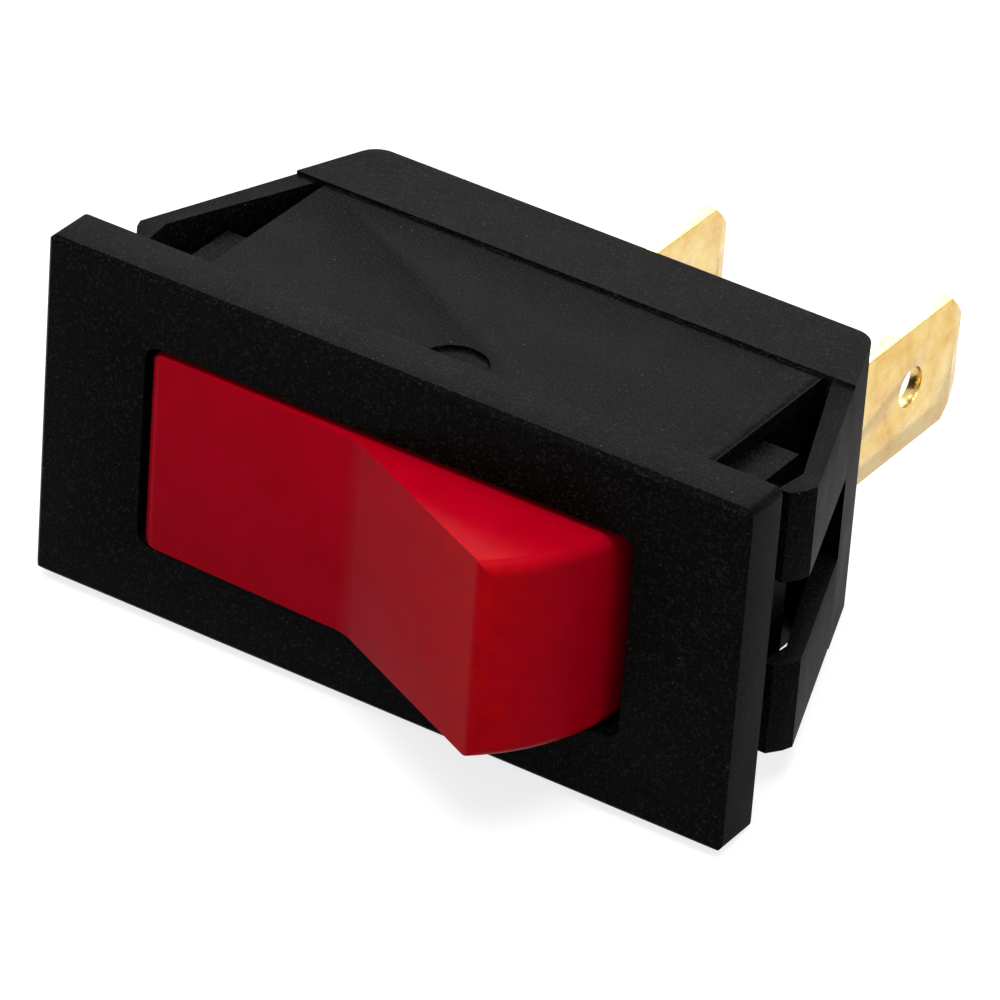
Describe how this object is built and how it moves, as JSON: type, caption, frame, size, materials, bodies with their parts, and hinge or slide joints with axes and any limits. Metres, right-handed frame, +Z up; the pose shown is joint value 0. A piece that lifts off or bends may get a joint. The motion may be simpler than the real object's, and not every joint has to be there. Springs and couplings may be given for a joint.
{
  "type": "panel rocker switch",
  "caption": "Snap-in rocker switch with a rectangular bezel, a V-faced red rocker, splayed snap fingers and push-on tabs at the rear.",
  "frame": {"origin": "centre of the bezel's back face, where it meets the panel", "axes": "+X along the bezel towards the raised half of the rocker, +Y rearwards through the panel, +Z up"},
  "size_m": [0.0274, 0.027, 0.013],
  "materials": {
    "housing": "fine satin moulded nylon",
    "terminal_base": "satin moulded nylon",
    "rocker": "polished moulded",
    "plunger": "natural nylon",
    "plunger_spring": "drawn spring wire",
    "contact_lever": "rolled and stamped",
    "moving_contact": "silver alloy",
    "fixed_contact": "silver alloy",
    "common_terminal": "rolled and stamped",
    "load_terminal": "rolled and stamped"
  },
  "bodies": {
    "housing": {"housing": "housing", "terminal_base": "terminal_base", "common_terminal": "common_terminal", "load_terminal": "load_terminal", "fixed_contact": "fixed_contact"},
    "rocker": {"rocker": "rocker", "plunger_spring": "plunger_spring"},
    "plunger": {"plunger": "plunger"},
    "contact_lever": {"contact_lever": "contact_lever", "moving_contact": "moving_contact"}
  },
  "joints": [
    {"name": "rocker_tilt", "type": "hinge", "parent": "housing", "child": "rocker", "pos_m": [0, 0.0016, 0], "axis": [0, 0, 1], "range_deg": [0, 28.8]},
    {"name": "lever_rock", "type": "hinge", "parent": "housing", "child": "contact_lever", "pos_m": [0, 0.00748, 0], "axis": [0, 0, 1], "range_deg": [-12, 0]},
    {"name": "plunger_slide", "type": "slide", "parent": "rocker", "child": "plunger", "axis": [-0.2487, -0.9686, 0], "range_m": [0, 0.0006], "stiffness_N_per_m": 100, "springref_m": -0.001, "deforming": ["plunger_spring"]}
  ],
  "couplings": [
    {"joint": "lever_rock", "follows": "rocker_tilt", "ratio": -0.4166}
  ]
}
